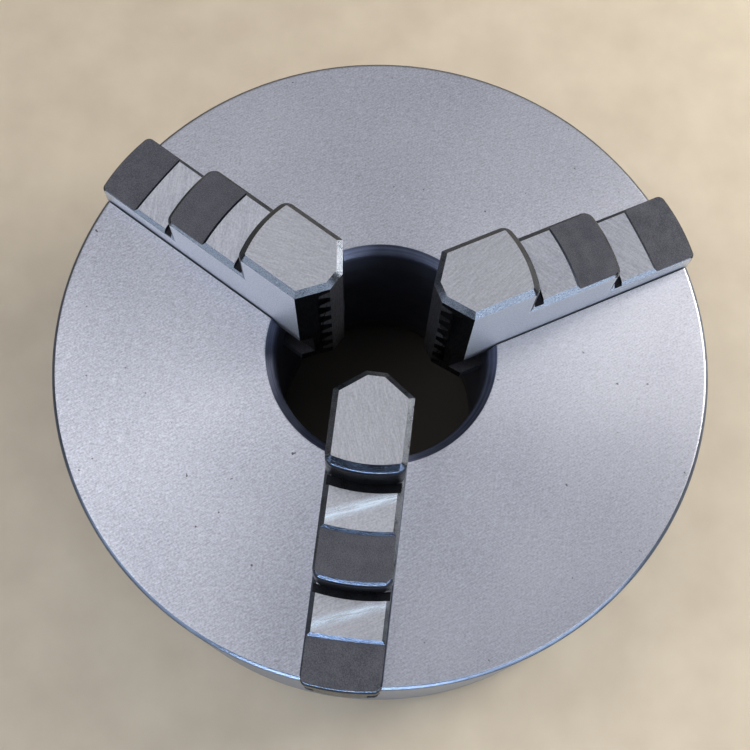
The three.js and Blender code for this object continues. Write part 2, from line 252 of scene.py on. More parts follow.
class Nodes:
    """A node material under construction, with its texture coordinates in millimetres."""

    def __init__(self, name):
        self.material = bpy.data.materials.new(name)
        self.material.use_nodes = True
        self.tree = self.material.node_tree
        self.shader = self.tree.nodes["Principled BSDF"]
        coordinates = self.tree.nodes.new("ShaderNodeTexCoord")
        self.millimetres = self.vector_math("SCALE", coordinates.outputs["Object"], scale=1 / MM)

    def link(self, source, target):
        self.tree.links.new(source, target)

    def split(self, vector):
        """The X, Y and Z of a vector."""
        node = self.tree.nodes.new("ShaderNodeSeparateXYZ")
        self.link(vector, node.inputs["Vector"])
        return node.outputs["X"], node.outputs["Y"], node.outputs["Z"]

    def vector_math(self, operation, first, second=None, scale=None):
        node = self.tree.nodes.new("ShaderNodeVectorMath")
        node.operation = operation
        self.link(first, node.inputs[0])
        if second is not None:
            node.inputs[1].default_value = second
        if scale is not None:
            node.inputs["Scale"].default_value = scale
        return node.outputs["Value" if operation == "LENGTH" else "Vector"]

    def turned_about_z(self, degrees):
        node = self.tree.nodes.new("ShaderNodeVectorRotate")
        node.rotation_type = "Z_AXIS"
        node.inputs["Angle"].default_value = math.radians(degrees)
        self.link(self.millimetres, node.inputs["Vector"])
        return node.outputs["Vector"]

    def math(self, operation, first, second=0.0):
        node = self.tree.nodes.new("ShaderNodeMath")
        node.operation = operation
        for socket, value in zip(node.inputs, (first, second)):
            if isinstance(value, (int, float)):
                socket.default_value = value
            else:
                self.link(value, socket)
        return node.outputs[0]

    def noise(self, stretch, detail, source=None):
        """Noise from 0 to 1, whose features are about 1/stretch millimetres along each axis."""
        scaled = self.vector_math("MULTIPLY", source or self.millimetres, second=stretch)
        node = self.tree.nodes.new("ShaderNodeTexNoise")
        node.inputs["Scale"].default_value = 1.0
        node.inputs["Detail"].default_value = detail
        node.inputs["Distortion"].default_value = 0.0
        self.link(scaled, node.inputs["Vector"])
        return node.outputs["Fac"]

    def ramp(self, value, stops):
        """A colour or grey level from (position, colour) stops."""
        node = self.tree.nodes.new("ShaderNodeValToRGB")
        elements = node.color_ramp.elements
        while len(elements) < len(stops):
            elements.new(0.5)
        for element, (position, colour) in zip(elements, stops):
            element.position = position
            grey = isinstance(colour, (int, float))
            element.color = (*((colour,) * 3 if grey else colour), 1.0)
        self.link(value, node.inputs["Fac"])
        return node.outputs["Color"]

    def mix(self, amount, first, second, blend="MIX"):
        """Blends two colours. An argument is a node's output, a number or a colour."""
        node = self.tree.nodes.new("ShaderNodeMix")
        node.data_type = "RGBA"
        node.blend_type = blend
        colours = [s for s in node.inputs if s.type == "RGBA"]
        for socket, value in zip((node.inputs[0], *colours), (amount, first, second)):
            if isinstance(value, (int, float)):
                socket.default_value = value
            elif isinstance(value, tuple):
                socket.default_value = (*value, 1.0)
            else:
                self.link(value, socket)
        return [s for s in node.outputs if s.type == "RGBA"][0]

    def bump(self, height, distance):
        """Raises the surface by up to a distance in millimetres."""
        node = self.tree.nodes.new("ShaderNodeBump")
        node.inputs["Strength"].default_value = 1.0
        node.inputs["Distance"].default_value = distance * MM
        self.link(height, node.inputs["Height"])
        self.link(node.outputs["Normal"], self.shader.inputs["Normal"])

    def brush_rings(self, amount):
        """Draws highlights out across grinding marks that run round the Z axis."""
        tangent = self.tree.nodes.new("ShaderNodeTangent")
        tangent.direction_type = "RADIAL"
        tangent.axis = "Z"
        self.link(tangent.outputs["Tangent"], self.shader.inputs["Tangent"])
        self.shader.inputs["Anisotropic"].default_value = amount
        self.shader.inputs["Anisotropic Rotation"].default_value = 0.25

    def brush_lines(self, amount, degrees):
        """Draws highlights out across straight grinding marks at an angle from the piece's X axis."""
        across = math.radians(degrees + 90)
        direction = self.tree.nodes.new("ShaderNodeCombineXYZ")
        direction.inputs["X"].default_value = math.cos(across)
        direction.inputs["Y"].default_value = math.sin(across)
        turned_with_piece = self.tree.nodes.new("ShaderNodeVectorTransform")
        turned_with_piece.vector_type = "VECTOR"
        turned_with_piece.convert_from = "OBJECT"
        turned_with_piece.convert_to = "WORLD"
        self.link(direction.outputs["Vector"], turned_with_piece.inputs["Vector"])
        self.link(turned_with_piece.outputs["Vector"], self.shader.inputs["Tangent"])
        self.shader.inputs["Anisotropic"].default_value = amount

    def finish(self, colour, roughness, metallic):
        self.link(colour, self.shader.inputs["Base Color"])
        self.link(roughness, self.shader.inputs["Roughness"])
        self.shader.inputs["Metallic"].default_value = metallic
        return self.material


# The painted glint: a lighter bluish band painted across jaw 1's strips as a highlight, where their
# roughness is also lower.
STRIP_SPACING = 28.45  # from the inner strip of a jaw to its outer one
GLINT_MIDDLE = 51.75  # where the painted glint band of the inner strip crosses the jaw's centre line
GLINT_SLOPE = 0.4
GLINT_REACH = 4.0  # scale of the band's fading, from its middle outwards


def painted_glint_band(nodes):
    """How far a point lies in the painted glint: a painted highlight band, smoother too, that crosses both
    strips of a jaw at a slant.
    """
    along, across, _ = nodes.split(nodes.millimetres)
    outer = nodes.math("GREATER_THAN", along, GLINT_MIDDLE + STRIP_SPACING / 2)
    along = nodes.math("SUBTRACT", along, nodes.math("MULTIPLY", outer, STRIP_SPACING))
    slanted = nodes.math("ADD", along, nodes.math("MULTIPLY", across, GLINT_SLOPE))
    off = nodes.math("ABSOLUTE", nodes.math("SUBTRACT", slanted, GLINT_MIDDLE))
    spread = nodes.ramp(nodes.math("MULTIPLY", off, 1 / GLINT_REACH), [(0.1, 0.9), (0.6, 0.0)])
    along_band = nodes.turned_about_z(-math.degrees(math.atan(GLINT_SLOPE)))
    fibres = nodes.noise((1.8, 0.12, 0.5), detail=3.0, source=along_band)
    return nodes.mix(1.0, spread, nodes.ramp(fibres, [(0.36, 0.35), (0.56, 1.0)]), "MULTIPLY")


def ground_steel(
    name, light, dark, turn, rough=(0.32, 0.5),
    specks=False, streaks=0.0, rings=0.0, lines=0.0, painted_glint=False,
):
    """Ground steel: short scratches at an angle over a fine cloudy mottle.
    It can have stains (specks), broad streaks, the strips' painted glint (a painted highlight band that
    also has a lower roughness), and highlights drawn out across ring-shaped or straight grinding marks."""
    nodes = Nodes(name)
    along = nodes.turned_about_z(-turn)
    scratches = nodes.noise((0.35, 5.0, 1.0), detail=3.0, source=along)
    mottle = nodes.noise((1.6, 1.6, 1.6), detail=3.0)
    clouds = nodes.noise((0.03, 0.03, 0.03), detail=2.0)
    level = nodes.math("ADD", nodes.math("MULTIPLY", scratches, 0.5), nodes.math("MULTIPLY", mottle, 0.5))
    grain = nodes.ramp(level, [(0.36, dark), (0.62, light)])
    tinted = nodes.mix(0.35, grain, nodes.ramp(clouds, [(0.3, 0.42), (0.7, 0.58)]), "OVERLAY")
    if streaks:
        wide = nodes.noise((0.06, 0.8, 0.5), detail=3.0, source=along)
        tinted = nodes.mix(streaks, tinted, nodes.ramp(wide, [(0.35, 0.2), (0.65, 0.8)]), "OVERLAY")
    if specks:
        spots = nodes.noise((0.5, 0.5, 0.5), detail=1.5)
        tinted = nodes.mix(nodes.ramp(spots, [(0.77, 0.0), (0.81, 0.8)]), tinted, (0.09, 0.07, 0.06))
    roughness = nodes.ramp(level, [(0.35, rough[1]), (0.65, rough[0])])
    # Painted highlight: the glint band mixes a light bluish colour into the steel, and lowers its
    # roughness.
    if painted_glint:
        glint_amount = painted_glint_band(nodes)
        tinted = nodes.mix(glint_amount, tinted, (0.80, 0.90, 1.0))
        roughness = nodes.mix(glint_amount, roughness, (0.12, 0.12, 0.12))
    nodes.bump(level, 0.03)
    if rings:
        nodes.brush_rings(rings)
    if lines:
        nodes.brush_lines(lines, turn)
    return nodes.finish(tinted, roughness, 0.9)


def turned_steel(name, light, dark, pitch=0.35, metallic=0.9, rough=(0.3, 0.45), along_axis=True):
    """Steel from the lathe: fine rings round the Z axis with a little stain.
    The rings follow each other along the axis, or outwards from it on a flat end."""
    nodes = Nodes(name)
    if along_axis:
        rings = nodes.noise((0.02, 0.02, 1 / pitch), detail=2.0)
    else:
        flat = nodes.vector_math("MULTIPLY", nodes.millimetres, second=(1, 1, 0))
        radius = nodes.vector_math("LENGTH", flat)
        combined = nodes.tree.nodes.new("ShaderNodeCombineXYZ")
        nodes.link(radius, combined.inputs["X"])
        rings = nodes.noise((1 / pitch, 1, 1), detail=2.0, source=combined.outputs["Vector"])
    stain = nodes.noise((0.15, 0.15, 0.15), detail=5.0)
    level = nodes.math("ADD", nodes.math("MULTIPLY", rings, 0.6), nodes.math("MULTIPLY", stain, 0.4))
    colour = nodes.ramp(level, [(0.35, dark), (0.65, light)])
    roughness = nodes.ramp(level, [(0.3, rough[0]), (0.7, rough[1])])
    nodes.bump(rings, 0.02)
    return nodes.finish(colour, roughness, metallic)


def blackened_steel(name, light, dark, metallic=0.6, rough=(0.42, 0.6)):
    """Hardened steel with its heat-treatment scale: a dark speckled skin."""
    nodes = Nodes(name)
    speckle = nodes.noise((3.2, 3.2, 3.2), detail=4.0)
    patches = nodes.noise((0.25, 0.25, 0.25), detail=3.0)
    level = nodes.math("ADD", nodes.math("MULTIPLY", speckle, 0.7), nodes.math("MULTIPLY", patches, 0.3))
    colour = nodes.ramp(level, [(0.36, dark), (0.64, light)])
    roughness = nodes.ramp(patches, [(0.3, rough[0]), (0.7, rough[1])])
    nodes.bump(speckle, 0.04)
    return nodes.finish(colour, roughness, metallic)


FACE_GROUND = ground_steel(
    "face_ground", (0.66, 0.665, 0.72), (0.44, 0.443, 0.48), turn=35,
    rough=(0.38, 0.56), specks=True, rings=0.45,
)
JAW_GROUND = ground_steel("jaw_ground", (0.55, 0.55, 0.58), (0.41, 0.41, 0.435), turn=20)
STRIP_GROUND = ground_steel(
    "strip_ground", (0.58, 0.585, 0.62), (0.42, 0.425, 0.46), turn=120,
    rough=(0.28, 0.42), streaks=0.12, lines=0.5,
)
# Jaw 1's strips: ground steel with the painted glint, a highlight band painted into their colour.
STRIP_PAINTED_GLINT = ground_steel(
    "strip_painted_glint", (0.62, 0.62, 0.65), (0.45, 0.45, 0.48), turn=120,
    rough=(0.3, 0.45), painted_glint=True,
)
JAW_SIDE = ground_steel("jaw_side", (0.70, 0.715, 0.76), (0.54, 0.555, 0.60), turn=90, rough=(0.4, 0.55))
SIDE_TURNED = turned_steel("side_turned", (0.29, 0.31, 0.37), (0.19, 0.21, 0.25))
EDGE_TURNED = turned_steel("edge_turned", (0.17, 0.20, 0.26), (0.09, 0.11, 0.15), rough=(0.24, 0.38))
BORE_TURNED = turned_steel("bore_turned", (0.17, 0.19, 0.27), (0.07, 0.08, 0.12), metallic=0.5)
END_TURNED = turned_steel("end_turned", (0.42, 0.43, 0.46), (0.3, 0.3, 0.33), along_axis=False)
JAW_BLACK = blackened_steel("jaw_black", (0.175, 0.175, 0.195), (0.09, 0.09, 0.105))
WALL_LIGHT = (0.035, 0.037, 0.045)
WALL_DARK = (0.012, 0.013, 0.017)
JAW_WALL = blackened_steel("jaw_wall", WALL_LIGHT, WALL_DARK, metallic=0.9, rough=(0.24, 0.4))
JAW_BROW = blackened_steel(
    "jaw_brow", (0.07, 0.088, 0.12), (0.035, 0.042, 0.06), metallic=0.9, rough=(0.09, 0.16)
)
JAW_EDGE = blackened_steel(
    "jaw_edge", (0.19, 0.205, 0.23), (0.07, 0.08, 0.10), metallic=0.9, rough=(0.24, 0.38)
)
SCREW_BLACK = blackened_steel("screw_black", (0.06, 0.06, 0.066), (0.02, 0.02, 0.024))
COVER_IRON = turned_steel("cover_iron", (0.30, 0.31, 0.32), (0.2, 0.2, 0.21), pitch=0.5, along_axis=False)
HARD_STEEL = turned_steel("hard_steel", (0.40, 0.41, 0.44), (0.27, 0.28, 0.30))
PINION_TURNED = ground_steel("pinion_turned", (0.42, 0.43, 0.46), (0.28, 0.29, 0.31), turn=60)

# The notches beside a jaw's gripping flat widen outwards from the flat.
JAW_TIP_HALF = 2.9  # half of the flat's width
NOTCH_OUTER = 6  # how far from the jaw's middle they reach
NOTCH_HALVES = (1.5, 3.1)  # half of their height at the flat and at their outer end
NOTCH_FIRST = 24.9  # the highest one's middle above the face
NOTCH_PITCH = 7.45
NOTCH_COUNT = 6


def nose_steel(name, light, dark):
    """The gripping tip: ground on its flat and on the lands between the notches, near black beyond them:
    oxide, and painted shade in the notches' places, also in one band above the highest notch, as the mesh
    keeps a skin over them.
    """
    nodes = Nodes(name)
    _, across, height = nodes.split(nodes.millimetres)
    raggedness = 0.8
    slack = 0.05
    waver = nodes.math("MULTIPLY", nodes.noise((1.2, 1.2, 1.2), detail=3.0), raggedness)
    across = nodes.math("ABSOLUTE", across)
    outwards = nodes.math("MAXIMUM", nodes.math("SUBTRACT", across, JAW_TIP_HALF), 0.0)
    above_land = nodes.math("SUBTRACT", height, FACE + NOTCH_FIRST + NOTCH_PITCH / 2)
    off_land = nodes.math("PINGPONG", nodes.math("ABSOLUTE", above_land), NOTCH_PITCH / 2)
    taper = (NOTCH_HALVES[1] - NOTCH_HALVES[0]) / (NOTCH_OUTER - JAW_TIP_HALF)
    land_half = NOTCH_PITCH / 2 - NOTCH_HALVES[0] + raggedness / 2
    reach = nodes.math("SUBTRACT", land_half, nodes.math("MULTIPLY", outwards, taper))
    on_land = nodes.math("GREATER_THAN", reach, nodes.math("ADD", off_land, waver))
    near = nodes.math("LESS_THAN", nodes.math("ADD", outwards, waver), NOTCH_OUTER - JAW_TIP_HALF)
    on_flat = nodes.math("LESS_THAN", outwards, slack)
    ground = nodes.math("MAXIMUM", on_flat, nodes.math("MULTIPLY", on_land, near))
    grain = nodes.noise((2.0, 2.0, 0.35), detail=3.0)
    bright = nodes.ramp(grain, [(0.35, dark), (0.65, light)])
    oxide_and_painted_shade = nodes.ramp(grain, [(0.35, WALL_DARK), (0.65, WALL_LIGHT)])
    roughness = nodes.ramp(grain, [(0.35, 0.4), (0.65, 0.28)])
    nodes.bump(grain, 0.03)
    # Painted shade: the notch bands get the near-black colour of shaded hollows, over the real oxide
    # colour.
    return nodes.finish(nodes.mix(ground, oxide_and_painted_shade, bright), roughness, 0.9)


JAW_NOSE = nose_steel("jaw_nose", (0.34, 0.335, 0.36), (0.22, 0.215, 0.235))

# ---- Chuck body ---------------------------------------------------------------------------

SLOT_HALF = 11.58
SLOT_RIDGE_HALF = 8.1
SLOT_RIDGES = (58.3, 70.7)
SLOT_TOOTH_HALF = 9.5
SLOT_FLOOR = 46.9
SLOT_EDGE = 0.25
MOUNTING_CIRCLE = 90
MOUNTING_RADIUS = 5  # M10
MOUNTING_PITCH = 1.5
MOUNTING_DEPTH = 20
PINION_HEIGHT = 28
PINION_HOLE = 13.3
JOURNAL = 5
JOURNAL_END = 36
PIN_RADIUS = 2.5
PIN_ALONG = 90.5
PIN_SIDE = 12.8
PIN_HIGH = 43.5
SCREW_CIRCLE = 38
SCREW_RADIUS = 2
SCREW_END = 25
PAST = 5  # how far a cutter runs past the surface that it cuts


def slot_cutter(angle):
    """The T-shaped channel of one jaw, with a small chamfer where it meets the face."""
    low, high = SLOT_RIDGES
    right = [
        (SLOT_TOOTH_HALF, SLOT_FLOOR),
        (SLOT_TOOTH_HALF, CEILING),
        (SLOT_HALF, CEILING),
        (SLOT_HALF, low),
        (SLOT_RIDGE_HALF, low),
        (SLOT_RIDGE_HALF, high),
        (SLOT_HALF, high),
        (SLOT_HALF, FACE - SLOT_EDGE),
        (SLOT_HALF + SLOT_EDGE + PAST, FACE + PAST),
    ]
    section = right + [(-side, height) for side, height in reversed(right)]
    outline = [(-height, side) for side, height in section]
    channel = stack("slot", [(outline, BORE - 2 * PAST), (outline, RIM + PAST)])
    return about_z(z_to_x(channel), angle)


def pinion_cutters(angle):
    """The radial hole of one pinion, with its mouth chamfer, the journal's hole, and the pin's hole."""
    mouth = 1.8
    profile = [
        (PINION_HOLE, CHAMBER - PAST),
        (PINION_HOLE, RIM - mouth),
        (PINION_HOLE + mouth + PAST, RIM + PAST),
    ]
    hole = z_to_x(turned("hole", profile, SMALL * 2, solid=True))
    journal = z_to_x(rod("journal", JOURNAL + GAP, JOURNAL_END - GAP, HUB + PAST))
    pin = shifted(rod("pin", PIN_RADIUS + GAP, -PAST, PIN_HIGH + GAP), PIN_ALONG, PIN_SIDE)
    shifted(hole, z=PINION_HEIGHT)
    shifted(journal, z=PINION_HEIGHT)
    return [about_z(cutter, angle) for cutter in (hole, journal, pin)]


def threaded_hole_cutter(radius, pitch, depth):
    """A blind hole with ring-shaped thread grooves and a chamfered mouth, opening at z = 0."""
    mouth = 0.4
    first = 0.6
    plain = 2  # below the last groove
    point = 0.3  # radius of the drill point's end
    core = radius - 0.54 * pitch
    profile = [(radius + mouth + PAST, -PAST), (radius + mouth, 0)]
    for turn in range(int(depth / pitch) - 2):
        height = first + turn * pitch
        profile += [(core, height + pitch * 0.4), (core, height + pitch * 0.55), (radius, height + pitch)]
    profile += [(core, depth - plain), (core, depth), (point, depth + core * 0.6)]
    return turned("thread", profile, SMALL, solid=True)


def body_finish(centre, normal):
    """The finish of a face of the body, by where it is and how it lies."""
    radius = math.hypot(centre.x, centre.y)
    if radius < BORE_MOUTH and abs(normal.z) < 0.9:
        return "bore"
    if normal.z > 0.9 and centre.z > FACE - 1:
        return "face"
    if normal.z < -0.9 and radius > REGISTER:
        return "back"
    return "edge" if centre.z > FACE - RIM_EDGE and radius > RIM - 2 else "side"


def chuck_body():
    profile = rounded([
        (BORE, HUB_END, 0.5),
        (HUB, HUB_END, 0.5),
        (HUB, CEILING, 0.5),
        (CHAMBER, CEILING, 0.5),
        (CHAMBER, HUB_END, 0.3),
        (REGISTER, HUB_END, 0.3),
        (REGISTER, 0, 0.5),
        (RIM - RIM_EDGE, 0, 0.3),
        (RIM, RIM_EDGE, 0.3),
        (RIM, FACE - RIM_EDGE, 0.5),
        (RIM - RIM_EDGE, FACE, 0.5),
        (BORE_MOUTH, FACE, 0.3),
        (BORE, FACE - (BORE_MOUTH - BORE), 1.2),
    ])
    body = turned("chuck_body_fine", profile)
    cutters = [slot_cutter(angle) for angle in JAW_ANGLES]
    for angle in PINION_ANGLES:
        cutters += pinion_cutters(angle)
    for angle in JAW_ANGLES:
        hole = threaded_hole_cutter(MOUNTING_RADIUS, MOUNTING_PITCH, MOUNTING_DEPTH)
        cutters.append(about_z(shifted(hole, MOUNTING_CIRCLE), angle))
    for angle in COVER_SCREW_ANGLES:
        hole = rod("screw_hole", SCREW_RADIUS + GAP, HUB_END - PAST, SCREW_END + GAP)
        cutters.append(about_z(shifted(hole, SCREW_CIRCLE), angle))
    cut(body, *cutters)
    tidy(body)
    smooth(body)
    materials = {
        "face": FACE_GROUND,
        "edge": EDGE_TURNED,
        "side": SIDE_TURNED,
        "bore": BORE_TURNED,
        "back": END_TURNED,
    }
    paint(body, materials, body_finish)
    place(body, "body", "body_steel", "chuck_body")


# ---- Jaws ---------------------------------------------------------------------------------

JAW_HALF = 11.28
JAW_TIP = 16.6
JAW_SHOULDER = 22.8
JAW_CORNER = 3  # radius in plan between a wall and the jaw's sides
END_CORNER = 1.8  # the same at the jaw's outer end
FLANGE_LOW = CEILING + GAP
GUIDE_HALF = SLOT_RIDGE_HALF - GAP
GUIDES = (SLOT_RIDGES[0] - GAP, SLOT_RIDGES[1] + GAP)
RELIEF_DEPTH = 1
WALL_ROUND = 2.2  # radius between a wall and the chamfer above it
# Steps, lowest first: (wall on the centre line, radius of the wall's arc, top above the face, chamfer)
STEPS = ((101.5, 64, 7.4, 1.2), (73.7, 53.6, 20.1, 1.7), (45.4, 36, 34.4, 1.7))
# The ground strip on each of the two lower steps: (start, its arc, end, its arc)
STRIPS = ((76.14, 56.7, 86.49, 208), (47.93, 46.8, 58.54, 69.5))
SEATS = [FACE + top for _, _, top, _ in STEPS]
CROWN = max(SEATS)
BEVEL_SLOPE = (JAW_SHOULDER - JAW_TIP) / (JAW_HALF - JAW_TIP_HALF)
NOTCH_FLOOR = JAW_TIP + (NOTCH_OUTER - JAW_TIP_HALF) * BEVEL_SLOPE
ARC_STEPS = 16
CORNER_STEPS = 10
SCROLL_PITCH = 8
SCROLL_START = 46
TOOTH_RANGE = (26, 97)
TOOTH_HALF = 8.5
TOOTH_THICKNESS = 3.6
TOOTH_INNER_ARC = 95
TOOTH_OUTER_ARC = 40
TOOTH_LOW = 47.6


def arc_points(centre, radius, start, end, steps=ARC_STEPS):
    """Points on an arc in plan; angles are in radians."""
    angles = [start + (end - start) * i / steps for i in range(steps + 1)]
    return [(centre[0] + radius * math.cos(a), centre[1] + radius * math.sin(a)) for a in angles]


def jaw_outline(wall, arc, corner):
    """A jaw's plan, counter-clockwise, from its gripping tip to a wall with rounded ends."""
    centre = wall - arc
    side = JAW_HALF - corner
    along = centre + math.sqrt((arc - corner) ** 2 - side**2)
    meeting = math.atan2(side, along - centre)
    quarter = math.pi / 2
    return [
        (JAW_TIP, -JAW_TIP_HALF),
        (JAW_SHOULDER, -JAW_HALF),
        *arc_points((along, -side), corner, -quarter, -meeting, CORNER_STEPS),
        *arc_points((centre, 0), arc, -meeting, meeting)[1:-1],
        *arc_points((along, side), corner, meeting, quarter, CORNER_STEPS),
        (JAW_SHOULDER, JAW_HALF),
        (JAW_TIP, JAW_TIP_HALF),
    ]


def inset(outline, distance):
    """The counter-clockwise outline with every side moved inwards."""
    out = []
    for i, point in enumerate(outline):
        here = Vector(point)
        before = (here - Vector(outline[i - 1])).normalized()
        after = (Vector(outline[(i + 1) % len(outline)]) - here).normalized()
        first = Vector((-before.y, before.x))
        second = Vector((-after.y, after.x))
        middle = (first + second).normalized()
        out.append(tuple(here + middle * (distance / middle.dot(first))))
    return out


def step_blank(wall, arc, low, top, edge, corner):
    """One step, whose wall rounds over into the 45 degree chamfer round its top."""
    slant = math.radians(45)
    turns = 5
    top_corner = 0.5  # what the chamfer leaves of the corner radius
    levels = [(jaw_outline(wall, arc, corner), low)]
    for turn in range(turns + 1):
        angle = slant * turn / turns
        back = WALL_ROUND * (1 - math.cos(angle))
        height = top - edge - WALL_ROUND * (math.sin(slant) - math.sin(angle))
        levels.append((jaw_outline(wall - back, arc, corner), height))
    crown = inset(jaw_outline(wall - back, arc, corner=edge + top_corner), edge)
    return stack("step", [*levels, (crown, top)])


def band(near, near_arc, far, far_arc):
    """The plan between two arcs across the jaw, past both of its sides."""
    half = JAW_HALF + 1
    near_angle = math.asin(half / near_arc)
    far_angle = math.asin(half / far_arc)
    outer = arc_points((far - far_arc, 0), far_arc, -far_angle, far_angle)
    inner = arc_points((near - near_arc, 0), near_arc, near_angle, -near_angle)
    return outer + inner


def relief_cutters(wall, wall_arc, start, start_arc, end, end_arc, top):
    """Cutters for the groove at a wall's foot and for the land beyond the strip, with its sloping riser."""
    high = FACE + top
    low = high - RELIEF_DEPTH
    groove = band(wall, wall_arc, start, start_arc)
    far = end + 3 * PAST
    foot = band(end + RELIEF_DEPTH, end_arc, far, end_arc)
    brow = band(end - RELIEF_DEPTH, end_arc, far, end_arc)
    return [
        stack("groove", [(groove, low), (groove, high + 1)]),
        stack("land", [(foot, low), (brow, high + RELIEF_DEPTH)]),
    ]


def notch_cutters():
    """The notches on both sides of the gripping flat, from below the face to near the top.
    Their outlines run clockwise, so the cutters are inside out: the jaw keeps a skin over each notch."""
    cutters = []
    inner, outer = NOTCH_HALVES
    for i in range(NOTCH_COUNT):
        height = FACE + NOTCH_FIRST - i * NOTCH_PITCH
        for side in (-1, 1):
            near = side * JAW_TIP_HALF
            far = side * NOTCH_OUTER
            outline = [(near, -inner), (far, -outer), (far, outer), (near, inner)]
            section = [(-up, across) for across, up in outline]
            if side > 0:
                section.reverse()
            notch = z_to_x(stack("notch", [(section, JAW_TIP - PAST), (section, NOTCH_FLOOR)]))
            cutters.append(shifted(notch, z=height))
    return cutters


def jaw_teeth(angle):
    """Crescent teeth that run in the scroll's thread, in step with the thread at this angle."""
    edge = 0.4
    high = FLANGE_LOW + 1  # a little way into the jaw
    turn = angle % 360 / 360
    groove = SCROLL_START + SCROLL_PITCH * turn + SCROLL_PITCH / 2
    first, last = TOOTH_RANGE
    position = groove - SCROLL_PITCH * math.floor((groove - first) / SCROLL_PITCH)
    teeth = []
    outer_angle = math.asin(TOOTH_HALF / TOOTH_OUTER_ARC)
    inner_angle = math.asin(TOOTH_HALF / TOOTH_INNER_ARC)
    while position <= last:
        inner = position - TOOTH_THICKNESS / 2
        outer = inner + TOOTH_THICKNESS
        outline = arc_points((outer - TOOTH_OUTER_ARC, 0), TOOTH_OUTER_ARC, -outer_angle, outer_angle)
        outline += arc_points((inner - TOOTH_INNER_ARC, 0), TOOTH_INNER_ARC, inner_angle, -inner_angle)
        levels = [(inset(outline, edge), TOOTH_LOW), (outline, TOOTH_LOW + edge), (outline, high)]
        teeth.append(stack("tooth", levels))
        position += SCROLL_PITCH
    return teeth


def jaw_finish(centre, normal):
    """The finish of a face of a jaw, by where it is and how it lies."""
    level = 0.3  # how near a seat's height a face has to be to belong to it
    if normal.z > 0.95:
        if centre.z > CROWN - level:
            return "ground"
        if any(abs(centre.z - seat) < level for seat in SEATS):
            return "strip"
        # Painted shade: the relief grooves' floors, from a wall's foot to its strip, take the walls'
        # near-black colour, darker than the blackened lands' oxide.
        for (wall, *_), (start, _, end, _) in zip(STEPS[1:], STRIPS):
            if wall - PAST < centre.x < (start + end) / 2:
                return "wall"
        return "black"
    if abs(normal.y) > 0.97 and abs(centre.y) > JAW_HALF - 0.5:
        return "side"
    if centre.x < JAW_SHOULDER and centre.z < CROWN - 2:
        in_notch = centre.x > NOTCH_FLOOR - 0.1 and normal.x < -0.95
        return "nose" if normal.x < -0.7 and abs(normal.z) < 0.1 and not in_notch else "wall"
    if abs(normal.z) < 0.1:
        return "wall"
    return "brow" if normal.x > 0.3 else "edge"


def jaw(number, angle):
    blanks = []
    for i, (wall, arc, top, edge) in enumerate(STEPS):
        low = FLANGE_LOW if i == 0 else FACE
        corner = END_CORNER if i == 0 else JAW_CORNER
        blanks.append(step_blank(wall, arc, low, FACE + top, edge, corner))
    piece = join(*blanks)
    piece.name = f"jaw_{number}_fine"
    cutters = [
        block("guide", (0, RIM + 2 * PAST), sorted((side * GUIDE_HALF, side * (JAW_HALF + PAST))), GUIDES)
        for side in (-1, 1)
    ]
    for (_, _, top, _), (wall, arc, _, _), strip in zip(STEPS, STEPS[1:], STRIPS):
        cutters += relief_cutters(wall, arc, *strip, top)
    cut(piece, *cutters, *notch_cutters())
    join(piece, *jaw_teeth(angle))
    tidy(piece)
    soften(piece, 0.12)
    smooth(piece)
    materials = {
        "ground": JAW_GROUND,
        # Only jaw 1's strips carry the painted glint highlight.
        "strip": STRIP_PAINTED_GLINT if number == 1 else STRIP_GROUND,
        "side": JAW_SIDE,
        "black": JAW_BLACK,
        "wall": JAW_WALL,
        "brow": JAW_BROW,
        "nose": JAW_NOSE,
        "edge": JAW_EDGE,
    }
    paint(piece, materials, jaw_finish)
    place(piece, f"jaw_{number}_slider", "jaw_steel", f"jaw_{number}", angle=angle)


# ---- Pinions and small parts --------------------------------------------------------------

GEAR_MIDDLE = 70  # radius from the chuck's axis at which the tooth sections are given
GEAR_ENDS = (62, 78)
PINION_TEETH = 10
CROWN_TEETH = 72
PITCH_LINE = GEAR_MIDDLE * PINION_TEETH / CROWN_TEETH
GEAR_TIP = 1.5
GEAR_ROOT = 2.1
GEAR_HALF_THICKNESS = 1.2
PRESSURE_ANGLE = math.radians(20)
PINION_RADIUS = 13
PINION_BODY = 78.2
PINION_END = 98.5
GROOVE = (87.5, 93.5)
GROOVE_RADIUS = 10
SOCKET = 12
SOCKET_DEPTH = 15
PIN_LOW = 11
PLUG = (1, 10.5)
PLUG_HEX = 1.5
PLUG_HEX_DEPTH = 4
SCROLL_LOW = 35.5
COVER_BORE = 33
COVER_RADIUS = 82.2
COVER_LOW = 5
COVER_HIGH = 13
BOSS = (44.5, 57)
SCREW_HEAD = 3.8
SCREW_HEAD_HEIGHT = 2.4
SCREW_HEX = 1.3
SCREW_HEX_DEPTH = 1.6


def scroll_plate():
    """Inside the body, where the CAD shape serves: only its material is new."""
    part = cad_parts["scroll_plate"]
    part.data.materials.clear()
    part.data.materials.append(HARD_STEEL)


def hexagon(radius):
    angles = [math.radians(a) for a in range(0, 360, 60)]
    return [(radius * math.cos(a), radius * math.sin(a)) for a in angles]


def tooth_half_angle(radius):
    """Half the angle that an involute tooth spans at a radius."""
    base = PITCH_LINE * math.cos(PRESSURE_ANGLE)
    pressure = math.acos(min(1, base / radius))
    gained = math.tan(PRESSURE_ANGLE) - PRESSURE_ANGLE - math.tan(pressure) + pressure
    return GEAR_HALF_THICKNESS / PITCH_LINE + gained


